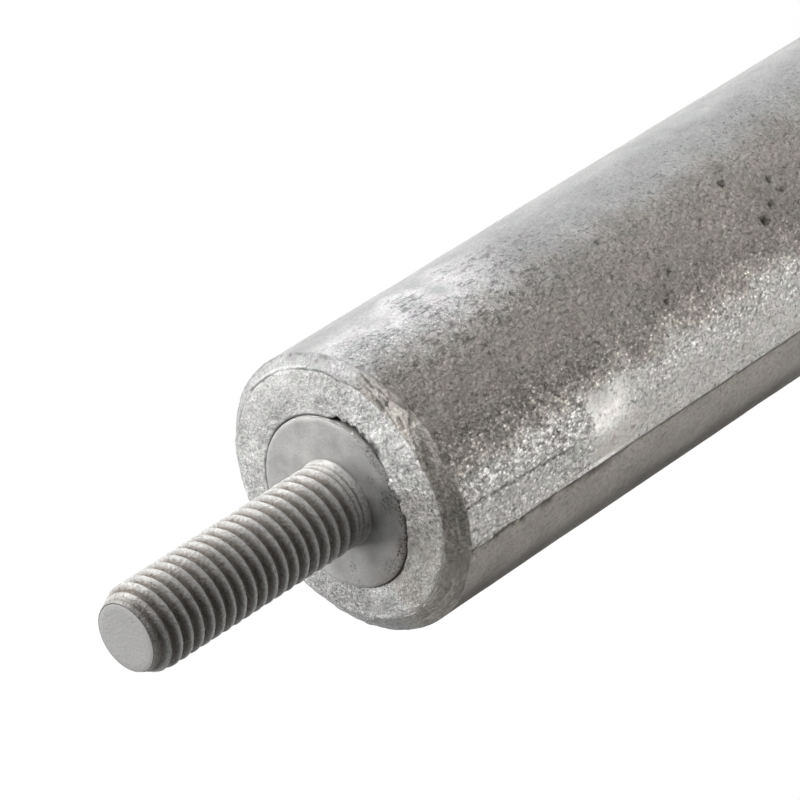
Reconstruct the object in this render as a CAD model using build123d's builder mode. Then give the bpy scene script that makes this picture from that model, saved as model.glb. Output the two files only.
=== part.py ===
from build123d import *
from math import degrees
import os

os.makedirs("parts", exist_ok=True)

# A sacrificial anode: a magnesium rod, cast in a two-part mould round the shank of a threaded steel insert.
# Sizes are in millimetres. The origin is the centre of the collar's face, where the stud leaves the anode.
# +Z runs out along the stud, so the rod hangs below z = 0 and ends at z = -body_length.

# Steel insert: stud, collar and anchoring shank, headed and rolled from one bar
stud_diameter = 8.0  # M8, the thread's major diameter
stud_length = 25.0
stud_tip_chamfer = 1.0
stud_root_fillet = 0.4
collar_diameter = 15.7
collar_thickness = 2.5
collar_edge_radius = 0.2
shank_diameter = 7.2
shank_length = 40.0
shank_end_chamfer = 1.0
groove_count = 3
groove_depth = 0.9
groove_floor = 2.4  # width of a groove at its bottom
groove_pitch = 7.5
first_groove = 7.0  # from the collar's underside to the middle of the first groove
key_flat_count = 2  # flats near the shank's end keep it from turning in the rod
key_flat_depth = 0.8
key_flat_length = 8.0

# Cast rod
body_diameter = 26.0
body_length = 200.0  # from the collar's face to the far end
foot_chamfer = 0.8
collar_stand = 0.4  # how far the collar stands out of the rod's end
collar_gap = 0.12  # shrinkage gap round the collar
land_width = 0.7  # flat lip round the gap
end_face_diameter = 22.8  # outer edge of the gently domed end face
end_face_fall = 0.35  # how far the end face falls from the lip to that edge
shoulder_length = 1.3  # along the axis, from the end face's edge to the rod's side
trim_offset = 0.4  # the hand-trimmed end is this far off the rod's axis, towards +X

# Mould seams
seam_angle = -135.0  # direction of the clearer seam, in degrees from +X
mould_shift = 0.15  # mismatch of the two mould halves
seam_flat_width = 3.4  # where the flash was dressed off beside each seam
seam_flat_length = 15.0
seam_flat_fade = 8.0

stud_radius = stud_diameter / 2
collar_radius = collar_diameter / 2
shank_radius = shank_diameter / 2
body_radius = body_diameter / 2
shank_top = -collar_thickness
shank_end = shank_top - shank_length
rod_top = -collar_stand
half_turn = 180  # one mould half
upright = Vector(0, 0, 1)
overcut = 2.0  # how far cutting tools run past the metal


# ---- threaded insert -------------------------------------------------------------------------------


def groove_section(middle):
    """Trapezoid of one anchoring groove, its mouth wider than its floor by the depth of both flanks."""
    floor = groove_floor / 2
    mouth = floor + groove_depth + overcut
    floor_radius = shank_radius - groove_depth
    with BuildSketch(Plane.XZ) as section:
        with BuildLine():
            Polyline(
                (floor_radius, middle - floor),
                (shank_radius + overcut, middle - mouth),
                (shank_radius + overcut, middle + mouth),
                (floor_radius, middle + floor),
                close=True,
            )
        make_face()
    return section.sketch


with BuildPart() as threaded_insert:
    # collar
    with BuildSketch(Plane.XY):
        Circle(collar_radius)
    extrude(amount=-collar_thickness)

    # stud, left plain at the thread's major diameter
    with BuildSketch(Plane.XY):
        Circle(stud_radius)
    extrude(amount=stud_length)

    # anchoring shank inside the rod
    with BuildSketch(Plane.XY.offset(shank_top)):
        Circle(shank_radius)
    extrude(amount=-shank_length)

    circles = threaded_insert.edges().filter_by(GeomType.CIRCLE)
    chamfer(circles.sort_by(Axis.Z)[-1], length=stud_tip_chamfer)
    chamfer(circles.sort_by(Axis.Z)[0], length=shank_end_chamfer)
    face_edges = circles.filter_by_position(Axis.Z, -0.001, 0.001).sort_by(SortBy.RADIUS)
    fillet(face_edges[0], radius=stud_root_fillet)
    fillet(face_edges[-1], radius=collar_edge_radius)

    # grooves that the casting locks into
    for turn in range(groove_count):
        middle = shank_top - first_groove - turn * groove_pitch
        revolve(groove_section(middle), axis=Axis.Z, mode=Mode.SUBTRACT)

    # key flats at the shank's end
    with BuildSketch(Plane.XY.offset(shank_end)):
        with PolarLocations(shank_radius - key_flat_depth, key_flat_count, rotate=True):
            Rectangle(shank_radius, shank_diameter, align=(Align.MIN, Align.CENTER))
    extrude(amount=key_flat_length, mode=Mode.SUBTRACT)

threaded_insert.part.label = "threaded_insert"
export_step(threaded_insert.part, "parts/threaded_insert.step")


# ---- cast magnesium rod ----------------------------------------------------------------------------

seam_direction = Vector(1, 0, 0).rotate(Axis.Z, seam_angle)
end_face_radius = end_face_diameter / 2
land_radius = collar_radius + collar_gap + land_width
end_face_edge = rod_top - end_face_fall
shoulder_slope = (body_radius - end_face_radius) / shoulder_length


def section_plane(centre, outward):
    """Upright plane through the point centre, with its x along outward and its y along +Z."""
    return Plane(origin=centre, x_dir=outward, z_dir=outward.cross(upright))


def bar_section(centre, outward):
    """Half section of the round bar, to be turned into one mould half."""
    with BuildSketch(section_plane(centre, outward)) as section:
        with BuildLine():
            Polyline(
                (0, rod_top),
                (body_radius, rod_top),
                (body_radius, foot_chamfer - body_length),
                (body_radius - foot_chamfer, -body_length),
                (0, -body_length),
                close=True,
            )
        make_face()
    return section.sketch


def trimmed_section(centre, outward):
    """What the trimming takes off outside the lip: over the falling end face and the shoulder."""
    reach = body_radius + overcut
    with BuildSketch(section_plane(centre, outward)) as section:
        with BuildLine():
            Polyline(
                (land_radius + trim_offset, rod_top),
                (end_face_radius, end_face_edge),
                (reach, end_face_edge - (reach - end_face_radius) / shoulder_slope),
                (reach, rod_top + overcut),
                (land_radius + trim_offset, rod_top + overcut),
                close=True,
            )
        make_face()
    return section.sketch


def dressed_section(outward):
    """What the file takes off beside a seam: full depth from the end, then fading out."""
    half_width = seam_flat_width / 2
    flat = (body_radius**2 - half_width**2) ** 0.5
    full_depth_end = rod_top - seam_flat_length
    fade_end = full_depth_end - seam_flat_fade
    with BuildSketch(section_plane(Vector(0, 0, 0), outward)) as section:
        with BuildLine():
            Polyline(
                (flat, rod_top + overcut),
                (flat, full_depth_end),
                (body_radius, fade_end),
                (body_radius + overcut, fade_end),
                (body_radius + overcut, rod_top + overcut),
                close=True,
            )
        make_face()
    return section.sketch


with BuildPart() as magnesium_body:
    # the two mould halves meet at the seams, one a little off the other
    slipped = seam_direction * -mould_shift
    revolve(
        bar_section(Vector(0, 0, 0), seam_direction),
        axis=Axis((0, 0, 0), upright),
        revolution_arc=half_turn,
    )
    revolve(
        bar_section(slipped, -seam_direction),
        axis=Axis(slipped, upright),
        revolution_arc=half_turn,
    )

    # trimmed end: falling face and shoulder, off-centre
    trim_centre = Vector(trim_offset, 0, 0)
    revolve(
        trimmed_section(trim_centre, Vector(1, 0, 0)),
        axis=Axis(trim_centre, upright),
        mode=Mode.SUBTRACT,
    )

    # flash dressed off the front half, beside each seam
    half_flat_angle = degrees(seam_flat_width / 2 / body_radius)
    for seam, inward_turn in ((seam_direction, half_flat_angle), (-seam_direction, -half_flat_angle)):
        extrude(
            dressed_section(seam.rotate(Axis.Z, inward_turn)),
            amount=seam_flat_width / 2,
            both=True,
            mode=Mode.SUBTRACT,
        )

    # pocket: a thin gap round the collar, and the insert's own form below it
    with BuildSketch(Plane.XY.offset(shank_top)):
        Circle(collar_radius + collar_gap)
    extrude(amount=collar_thickness, mode=Mode.SUBTRACT)
    add(threaded_insert.part, mode=Mode.SUBTRACT)

magnesium_body.part.label = "magnesium_body"
export_step(magnesium_body.part, "parts/magnesium_body.step")
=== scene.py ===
import itertools
import math

import bmesh
import bpy
import numpy as np
from mathutils import Matrix, Vector


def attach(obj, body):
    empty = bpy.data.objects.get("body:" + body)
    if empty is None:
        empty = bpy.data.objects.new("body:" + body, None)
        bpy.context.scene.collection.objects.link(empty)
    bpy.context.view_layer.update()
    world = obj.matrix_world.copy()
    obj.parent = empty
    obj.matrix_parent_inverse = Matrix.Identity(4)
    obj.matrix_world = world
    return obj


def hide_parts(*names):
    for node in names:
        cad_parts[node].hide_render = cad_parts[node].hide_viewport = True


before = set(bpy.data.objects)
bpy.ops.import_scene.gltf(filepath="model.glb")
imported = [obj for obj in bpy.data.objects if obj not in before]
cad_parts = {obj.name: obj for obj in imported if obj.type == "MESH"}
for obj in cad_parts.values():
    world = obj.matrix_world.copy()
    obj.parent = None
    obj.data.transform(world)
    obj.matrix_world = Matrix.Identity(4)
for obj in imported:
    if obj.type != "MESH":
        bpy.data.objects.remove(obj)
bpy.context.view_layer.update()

# Sacrificial anode: a cast magnesium rod with the threaded steel insert it is cast round.
# Sizes are in millimetres until a mesh is made. Azimuths are in degrees from +X, seen from the stud's tip.

MM = 0.001

# Sizes shared with the CAD
BODY_RADIUS = 13.0
BODY_LENGTH = 200.0
FOOT_CHAMFER = 0.8
ROD_TOP = -0.4
COLLAR_RADIUS = 7.85
COLLAR_THICKNESS = 2.5
COLLAR_EDGE = 0.2
FACE_RADIUS = 11.4
FACE_FALL = 0.35
SHOULDER_LENGTH = 1.3
TRIM_OFFSET = 0.4
STUD_LENGTH = 25.0
SHANK_RADIUS = 3.6
SHANK_LENGTH = 40.0
SHANK_CHAMFER = 1.0
GROOVE_COUNT, GROOVE_DEPTH, GROOVE_FLOOR, GROOVE_PITCH, FIRST_GROOVE = 3, 0.9, 2.4, 7.5, 7.0
FLAT_DEPTH, FLAT_LENGTH = 0.8, 8.0
SEAM = -135.0
MOULD_SHIFT = 0.15
STRIP_WIDTH = 3.4
THREAD_PITCH = 1.25

# Sizes of the visual pieces alone
COLLAR_GAP = 0.03  # between the collar's wall and the rod
BORE_CLEARANCE = 0.01  # between the hidden faces of rod and insert
SHOULDER_REAR = -2.0  # about where the side starts
ROOT_FILLET = 0.12  # the stud's blend into the collar; the CAD has 0.4
SKIN_CLEARANCE = 0.05  # the skin's waves stay this far inside the CAD solid
FINE, MEDIUM, COARSE = 720, 360, 180  # columns round the rod
FACE_ROWS, SHOULDER_ROWS = 20, 19
CLOSE_ROWS_END = -23.0  # the side's rows grow wider below this height
PICTURE_END = -54.0  # what lies below this height is outside the photograph
FRONT, CROWDING = -105.0, 0.45  # the rod's columns stand closer together round this azimuth

# Looks
WORLD_FILL = 0.05  # the world's strength, apart from what the camera and the metal see of it
WHITE_FLOOR = 0.04, 0.15  # distances from the foot, in metres, between which the floor turns white
WARM, NEUTRAL = (1.08, 1.0, 0.91, 1.0), (1.0, 1.0, 1.0, 1.0)
PINKISH, GREENISH = (1.015, 0.99, 1.0, 1.0), (0.985, 1.01, 0.985, 1.0)


# ---- numbers ----


def smooth(low, high, value):
    """0 below low, 1 above high, smooth between them; low may be the larger one."""
    t = np.clip((value - low) / (high - low), 0.0, 1.0)
    return t * t * (3.0 - 2.0 * t)


def bump(value, middle, half_width):
    """1 at the middle, falling smoothly to 0 at half_width from it."""
    return smooth(half_width, 0.0, np.abs(value - middle))


def tone_round(psi, plain, bumps, steps=()):
    """A tone that changes round the axis: plain, with bumps (azimuth, half width, height) and smooth steps
    (azimuths of start and end, height) on it."""
    tone = plain + sum(height * bump(psi, middle, half) for middle, half, height in bumps)
    return tone + sum(height * smooth(start, end, psi) for start, end, height in steps)


WORD = 0xFFFFFFFF  # the largest number of 32 bits


def scramble(cells, seed):
    """A repeatable number from 0 to 1 for each cell of a grid, by an integer hash."""
    x, y, z = (cells[..., axis] for axis in range(3))
    h = (x * 73856093 ^ y * 19349663 ^ z * 83492791 ^ seed * 2654435761) & WORD
    h = ((h ^ (h >> 13)) * 1274126177) & WORD
    h = ((h ^ (h >> 16)) * 2246822519) & WORD
    return (h ^ (h >> 15)) / WORD


def noise(points, size, seed):
    """Value noise from -1 to 1 whose lumps are about size apart; size may be a triple."""
    scaled = points / np.asarray(size, dtype=float)
    cell = np.floor(scaled).astype(np.int64)
    part = scaled - cell
    part = part * part * (3.0 - 2.0 * part)
    total = np.zeros(points.shape[:-1])
    for corner in itertools.product((0, 1), repeat=3):
        weight = np.prod(np.where(corner, part, 1.0 - part), axis=-1)
        total += weight * scramble(cell + corner, seed)
    return total * 2.0 - 1.0


def rough_noise(points, size, seed, octaves=3):
    """Noise with finer noise on it, about -1 to 1."""
    size = np.asarray(size, dtype=float)
    total = sum(noise(points, size / 2**k, seed + k) / 2**k for k in range(octaves))
    return total / (2.0 - 0.5 ** (octaves - 1)) * 1.3


# ---- rings to mesh ----


class Rings:
    """Rings of points round the Z axis, from one capped end to the other.

    Neighbouring rings have equal column counts, or one has twice as many as the other.
    """

    def __init__(self, crowding=0.0):
        self.crowding = crowding
        self.counts = []
        self.columns = []

    def add(self, count, path, radius, z, shift=0.0, tilt=0.0):
        """A ring of that radius at z. path says where on the surface it lies, shift moves it along +X,
        and tilt is the normal's angle above the horizon, in degrees."""
        theta = self.theta(count)
        values = [np.broadcast_to(v, theta.shape) for v in (theta, path, radius, z, shift, tilt)]
        self.counts.append(count)
        self.columns.append(np.stack(values, axis=1))

    def theta(self, count):
        even = np.arange(count) / count * 2.0 * np.pi
        return even - self.crowding * np.sin(even - math.radians(FRONT))

    def table(self):
        return dict(zip(("theta", "path", "radius", "z", "shift", "tilt"), np.concatenate(self.columns).T))

    def faces(self):
        starts = np.concatenate([[0], np.cumsum(self.counts)]).tolist()
        faces = [list(range(starts[0], starts[1])), list(range(starts[-2], starts[-1]))]
        for k in range(len(self.counts) - 1):
            faces += self.band(starts[k], self.counts[k], starts[k + 1], self.counts[k + 1])
        return faces

    @staticmethod
    def band(a, na, b, nb):
        if na == nb:
            return [(a + i, a + (i + 1) % na, b + (i + 1) % nb, b + i) for i in range(na)]
        if na > nb:
            a, na, b, nb = b, nb, a, na
        return [
            (a + i, b + 2 * i, b + 2 * i + 1, b + (2 * i + 2) % nb, a + (i + 1) % na)
            for i in range(na)
        ]


def positions(t):
    """Cartesian points of a ring table."""
    x = t["shift"] + t["radius"] * np.cos(t["theta"])
    y = t["radius"] * np.sin(t["theta"])
    return np.stack([x, y, t["z"]], axis=1)


def normals(t):
    level = np.cos(np.radians(t["tilt"]))
    x, y = level * np.cos(t["theta"]), level * np.sin(t["theta"])
    return np.stack([x, y, np.sin(np.radians(t["tilt"]))], axis=1)


def add_object(name, data):
    """A new object in the scene."""
    item = bpy.data.objects.new(name, data)
    bpy.context.scene.collection.objects.link(item)
    return item


def make_piece(name, points, faces, attributes):
    """A smooth-shaded object from millimetre points, with a number at each point for each attribute."""
    mesh = bpy.data.meshes.new(name)
    mesh.from_pydata((points * MM).tolist(), [], faces)
    for key, values in attributes.items():
        layer = mesh.attributes.new(key, "FLOAT", "POINT")
        layer.data.foreach_set("value", np.ascontiguousarray(values, dtype=np.float32))
    shaped = bmesh.new()
    shaped.from_mesh(mesh)
    bmesh.ops.recalc_face_normals(shaped, faces=shaped.faces)
    shaped.to_mesh(mesh)
    shaped.free()
    mesh.polygons.foreach_set("use_smooth", np.ones(len(mesh.polygons), dtype=bool))
    return add_object(name, mesh)


# ---- the anchoring shank, shared by the insert and the rod's bore ----


def shank_radius(theta, z):
    """Radius of the grooved shank with its two flats; z is negative."""
    depth = -COLLAR_THICKNESS - z
    radius = np.full(np.shape(theta), SHANK_RADIUS)
    for turn in range(GROOVE_COUNT):
        off = np.abs(depth - FIRST_GROOVE - turn * GROOVE_PITCH) - GROOVE_FLOOR / 2
        radius = np.minimum(radius, SHANK_RADIUS - GROOVE_DEPTH + np.clip(off, 0.0, GROOVE_DEPTH))
    left = SHANK_LENGTH - depth
    if left < FLAT_LENGTH - 0.001:
        flat = (SHANK_RADIUS - FLAT_DEPTH) / np.maximum(np.abs(np.cos(theta)), 0.01)
        radius = np.minimum(radius, flat)
    return np.minimum(radius, SHANK_RADIUS - SHANK_CHAMFER + max(left, 0.0))


def shank_heights():
    """Heights of the rings that follow the shank, from the collar's underside down."""
    heights = [-COLLAR_THICKNESS]
    for turn in range(GROOVE_COUNT):
        middle = -COLLAR_THICKNESS - FIRST_GROOVE - turn * GROOVE_PITCH
        mouth = GROOVE_FLOOR / 2 + GROOVE_DEPTH
        heights += [middle + mouth, middle + GROOVE_FLOOR / 2, middle - GROOVE_FLOOR / 2, middle - mouth]
    end = -COLLAR_THICKNESS - SHANK_LENGTH
    heights += [end + FLAT_LENGTH + 0.01, end + FLAT_LENGTH - 0.01, end + SHANK_CHAMFER, end]
    return heights


# ---- cast rod: form ----

INWARD, UP, DOWN = 180.0, 90.0, -90.0  # tilts of level and upright surfaces
FOOT_PATH = 220.0
CHAMFER_PATH = 195.0  # close to the foot's chamfer: from here on, the skin has no relief


def side_path(z):
    return 3.0 + SHOULDER_REAR - z


def rod_rings():
    """Rings from the bore's closed end, up the bore, out over the end face and down to the foot.

    path is 0 in the pocket, 1 at the lip, 2 at the end face's edge, 3 at the shoulder's rear edge,
    from there 3 plus the distance down the side, and FOOT_PATH on the foot.
    """
    rings = Rings(CROWDING)
    bore = COARSE // 2
    for z in reversed(shank_heights()):
        rings.add(bore, 0.0, shank_radius(rings.theta(bore), z) + BORE_CLEARANCE, z, tilt=INWARD)
    wall = COLLAR_RADIUS + COLLAR_GAP
    for radius, count in ((4.6, COARSE), (6.0, COARSE), (wall, MEDIUM)):
        rings.add(count, 0.0, radius, -COLLAR_THICKNESS - BORE_CLEARANCE, tilt=UP)
    for z, count, path in ((-1.9, MEDIUM, 0.6), (-1.4, FINE, 0.6), (-1.0, FINE, 0.9)):
        rings.add(count, path, wall, z, tilt=INWARD)
    add_end_rings(rings, wall)
    add_side_rings(rings)
    return rings


def add_end_rings(rings, wall):
    """Lip, granular end face, its rounded edge, and the shoulder."""
    for step, drop in enumerate((0.3, 0.12, 0.0)):
        rings.add(FINE, 0.94 + 0.03 * step, wall + 0.03 * step, ROD_TOP - drop, tilt=150.0 - 30.0 * step)
    lip = wall + 0.06
    for k in range(1, FACE_ROWS + 1):
        t = k / (FACE_ROWS + 1)
        radius = lip + (FACE_RADIUS - lip) * t
        dome = FACE_FALL * smooth(0.2, 1.0, t)
        rings.add(FINE, 1.0 + t, radius, ROD_TOP - dome, TRIM_OFFSET * smooth(0.0, 1.0, t), 85.0)
    edge_z = ROD_TOP - FACE_FALL
    theta = rings.theta(FINE)
    off_centre = np.hypot(BODY_RADIUS * np.cos(theta) - TRIM_OFFSET, BODY_RADIUS * np.sin(theta))
    slope = (BODY_RADIUS - FACE_RADIUS) / SHOULDER_LENGTH
    rear_z = edge_z - (off_centre - FACE_RADIUS) / slope
    skin = BODY_RADIUS - SKIN_CLEARANCE
    for k in range(SHOULDER_ROWS + 1):
        t = k / SHOULDER_ROWS
        radius = FACE_RADIUS + (skin - FACE_RADIUS) * t
        z = edge_z + (rear_z - edge_z) * t - 0.05 * bump(t, 0.0, 0.25) - 0.03 * bump(t, 1.0, 0.2)
        rings.add(FINE, 2.0 + t, radius, z, TRIM_OFFSET * (1.0 - t), 75.0 - 30.0 * t)
    for down in (0.1, 0.22, 0.36, 0.52, 0.7, 0.9):
        rings.add(FINE, 3.0 + down, skin, rear_z - down)


def side_heights():
    """Close rows near the end, wider ones towards the foot."""
    z, step = -3.6, 0.3
    heights = []
    while z > FOOT_CHAMFER - BODY_LENGTH + 1.0:
        heights.append(z)
        if z < CLOSE_ROWS_END:
            growth, widest = (1.03, 0.44) if z > PICTURE_END else (1.12, 4.0)
            step = min(step * growth, widest)
        z -= step
    return heights


def add_side_rings(rings):
    """The long side, then the foot's chamfer and flat end."""
    skin = BODY_RADIUS - SKIN_CLEARANCE
    for z in side_heights():
        rings.add(MEDIUM if z > PICTURE_END - 2.0 else COARSE, side_path(z), skin, z)
    foot = -BODY_LENGTH
    for radius, z, tilt in (
        (skin, foot + FOOT_CHAMFER + 0.1, 0.0),
        (skin - 0.08, foot + FOOT_CHAMFER - 0.1, -30.0),
        (skin - FOOT_CHAMFER + 0.1, foot + 0.08, -60.0),
        (skin - FOOT_CHAMFER - 0.15, foot, DOWN),
    ):
        rings.add(COARSE, side_path(z), radius, z, tilt=tilt)
    for radius, count in ((10.0, COARSE), (7.0, COARSE), (4.0, COARSE // 2), (1.0, COARSE // 2)):
        rings.add(count, FOOT_PATH, radius, foot, tilt=DOWN)


# ---- cast rod: surface ----

# Blowholes near the cut-off picture edge: azimuth, z, radius, depth
PITS = (
    (-87.0, -46.1, 0.45, 0.34),
    (-74.5, -49.5, 0.34, 0.20),
    (-80.5, -49.8, 0.26, 0.24),
    (-83.0, -47.8, 0.26, 0.24),
    (-65.5, -45.1, 0.36, 0.28),
    (-58.5, -30.2, 0.30, 0.24),
    (-93.0, -31.5, 0.26, 0.20),
    (-90.8, -32.1, 0.22, 0.16),
    (-73.3, -40.1, 0.20, 0.14),
    (-83.5, -33.7, 0.20, 0.14),
)

# The skin's zones round the rod: where each starts, how soft its border is, its tone near the end and
# further down, and how pebbled it is there. The tones hold painted light as well as the metal's own tone:
# the underside is stained and darkened by painted shade, the front's middle is darkened as a painted dark
# reflection, and the pale band beside the seam and the smooth bright skin towards +X are partly painted
# highlights.
ZONES = (
    (-180.0, 1.0, 0.125, 0.125, 0.15, 0.15),
    (-157.0, 9.0, 0.225, 0.23, 0.20, 0.20),
    (-145.0, 6.0, 0.27, 0.285, 0.22, 0.22),
    (SEAM, 0.4, 0.54, 0.51, 0.78, 0.45),
    (-119.0, 6.0, 0.58, 0.54, 1.00, 0.80),
    (-104.0, 11.0, 0.20, 0.21, 0.90, 0.75),
    (-88.0, 8.0, 0.195, 0.20, 0.50, 0.44),
    (-54.0, 9.0, 0.41, 0.285, 0.50, 0.28),
    (-38.0, 6.0, 0.56, 0.29, 0.15, 0.15),
    (-26.0, 7.0, 0.35, 0.34, 0.10, 0.10),
    (50.0, 30.0, 0.27, 0.27, 0.60, 0.60),
    (160.0, 20.0, 0.15, 0.15, 0.30, 0.30),
)

# Where the rough and the smooth skin reach into each other: azimuth, z, their half widths, and by how
# many degrees the border moves
TONGUES = (
    (-26.0, -12.6, 13.0, 1.9, -16.0),
    (-22.0, -18.6, 12.0, 2.4, -14.0),
    (-32.0, -22.8, 10.0, 2.2, -12.0),
    (-40.0, -15.2, 10.0, 1.5, 10.0),
    (-38.0, -8.5, 9.0, 2.0, 7.0),
    (-36.0, -34.0, 10.0, 3.0, 8.0),
    (-12.0, -47.0, 12.0, 2.5, -12.0),
    (-26.0, -54.0, 10.0, 2.5, 12.0),
)

# Marks near the seam: the fine line's azimuth 10 mm below the collar, its turn in degrees a millimetre,
# and the height of the dent in the seam's edge
LINE_AZIMUTH, LINE_SLANT = -119.6, 0.22
DENT_HEIGHT = -19.0


def azimuth(t):
    return np.degrees((t["theta"] + np.pi) % (2.0 * np.pi) - np.pi)


def mould_step(psi):
    """The back mould half sits a little towards +X +Y, so its side steps at both seams."""
    back = (psi < SEAM) | (psi > SEAM + 180.0)
    return np.where(back, MOULD_SHIFT * np.cos(np.radians(psi - SEAM - 180.0)), 0.0)


def dressed_strip(psi, z):
    """Depth of the flat filed beside each seam, on the front half."""
    half = math.degrees(STRIP_WIDTH / 2 / BODY_RADIUS)
    depth = BODY_RADIUS - math.sqrt(BODY_RADIUS**2 - (STRIP_WIDTH / 2) ** 2)
    middles = SEAM + half, SEAM + 180.0 - half
    strips = sum(np.clip(1.0 - ((psi - middle) / half) ** 2, 0.0, 1.0) for middle in middles)
    return depth * smooth(-23.0, -14.0, z) * strips


def seam_wander(psi, z, points):
    """How many degrees the seam's edge wanders near the end."""
    return 2.4 * bump(psi, SEAM, 8.0) * smooth(-17.0, -12.0, z) * rough_noise(points, 1.1, 74, 3)


def side_features(psi, z, points):
    """Outward displacement of the side, in millimetres, and a mask of painted shade in its line, dent, chips
    and pits and under the seam's edge.
    """
    waves = 0.035 * rough_noise(points, 9.0, 11, 2) + 0.012 * rough_noise(points, 1.1, 17, 2)
    lift = waves - dressed_strip(psi, z)
    ragged = 0.7 * rough_noise(points, 0.7, 19, 3)
    line = bump(psi + ragged, LINE_AZIMUTH + LINE_SLANT * (z + 10.0), 0.8) * smooth(-17.5, -14.5, z)
    ridge = bump(psi, SEAM + 1.0, 1.2) * (0.25 + 0.75 * bump(z, DENT_HEIGHT, 4.5))
    dent = bump(psi, SEAM - 2.2, 2.2) * bump(z, DENT_HEIGHT + 0.2, 4.0)
    under_seam_shade = bump(psi + ragged + seam_wander(psi, z, points), SEAM - 0.7, 1.1)
    chips = bump(psi, SEAM - 1.6, 3.4) * smooth(0.1, 0.3, rough_noise(points, 0.7, 23, 3))
    chips = chips * smooth(-20.0, -12.0, z)
    lift = lift - 0.12 * line + 0.05 * ridge - 0.16 * dent - 0.1 * chips
    # Painted shade in the line's groove, the dent, the chips and under the seam's edge.
    shade_and_soot = 0.65 * line + 0.75 * dent + 0.95 * under_seam_shade + 0.8 * chips
    for pit_psi, pit_z, radius, depth in PITS:
        off = np.hypot(np.radians(psi - pit_psi) * BODY_RADIUS, z - pit_z)
        hole = smooth(radius * 1.45, radius * 0.6, off)
        lift = lift - depth * hole
        # Painted shade in the pit.
        shade_and_soot = shade_and_soot + hole
    return lift, np.clip(shade_and_soot, 0.0, 1.0)


# Where the trimming tore the shoulder. A flap stands up and drops at its border, which is given by
# azimuth and path at its two ends; the last number is its rise. A unit of path is about 2 mm here.
FLAPS = (
    (-44.0, 2.98, -66.0, 2.96, 0.10),
    (-60.0, 3.02, -79.0, 2.84, 0.16),
    (-80.0, 2.76, -100.0, 2.12, 0.14),
)
# A slit is a pointed opening: azimuth and path at its two ends, half width and depth
SLITS = (
    (-54.0, 2.50, -84.0, 2.03, 0.045, 0.10),
    (-64.5, 2.28, -71.0, 2.13, 0.085, 0.24),
    (-66.5, 2.53, -72.0, 2.38, 0.065, 0.22),
    (-75.3, 2.45, -81.5, 2.27, 0.095, 0.26),
    (-52.0, 2.86, -61.0, 2.60, 0.060, 0.16),
    (-59.0, 2.84, -68.0, 2.68, 0.040, 0.12),
    (-83.0, 2.84, -89.0, 2.62, 0.035, 0.08),
    (-84.0, 2.42, -96.0, 2.12, 0.030, 0.08),
)
# Corners of the largest flake, in order round it: azimuth and path
FLAKE = (-68.0, 2.72), (-75.5, 2.90), (-83.5, 2.34), (-83.0, 2.06), (-70.0, 2.22)
CRACK_PATH = 2.06  # a fine crack between the end face and the shoulder


def beside(psi, path, ends):
    """How far along the line a point is, from 0 to 1, and how far to its rear side, in path's unit."""
    psi_0, path_0, psi_1, path_1 = ends
    along = (psi - psi_0) / (psi_1 - psi_0)
    return along, path - (path_0 + (path_1 - path_0) * along)


def inside_flake(psi, path):
    """How far inside the largest flake's outline a point is, in millimetres, and less than 0 outside."""
    degree, unit = 0.215, 2.0  # millimetres to a degree round the shoulder, and to a unit of path
    inside = np.full_like(psi, 9.0)
    for corner, following in zip(FLAKE, FLAKE[1:] + FLAKE[:1]):
        across, along = (following[0] - corner[0]) * degree, (following[1] - corner[1]) * unit
        side = (path - corner[1]) * unit * across - (psi - corner[0]) * degree * along
        inside = np.minimum(inside, side / math.hypot(across, along))
    return inside


def torn_shoulder(psi, path, ragged):
    """Lift of the flake, the flaps and the slits, with a painted shadow behind the flake and along the flaps'
    drops and painted shade in the slits; ragged is noise for their borders.
    """
    depth = inside_flake(psi, path) + 0.06 * ragged
    lift = 0.12 * smooth(-0.04, 0.08, depth)
    shade_and_soot = 0.45 * smooth(-0.5, -0.05, depth) * smooth(0.06, -0.04, depth) * smooth(2.25, 2.45, path)
    for *ends, rise in FLAPS:
        along, behind = beside(psi, path, ends)
        behind = behind + 0.07 * ragged
        reach = smooth(0.0, 0.12, along) * smooth(1.0, 0.88, along)
        lift = np.maximum(lift, reach * rise * smooth(-0.75, -0.1, behind) * smooth(0.05, 0.0, behind))
        shade_and_soot = shade_and_soot + 0.3 * reach * bump(behind, 0.1, 0.1)
    for *ends, half_width, deep in SLITS:
        along, behind = beside(psi, path, ends)
        inside = np.clip(along * (1.0 - along) * 4.0, 0.0, 1.0)
        off = np.abs(behind + 0.02 * ragged) / (half_width * np.sqrt(inside) + 0.001)
        opening = smooth(1.1, 0.4, off) * (inside > 0.0)
        lips = bump(off, 1.6, 0.8) * smooth(0.0, 0.3, inside)
        lift = lift - 0.65 * deep * opening + 0.04 * lips
        shade_and_soot = shade_and_soot + 0.3 * opening
    return lift, shade_and_soot


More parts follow.
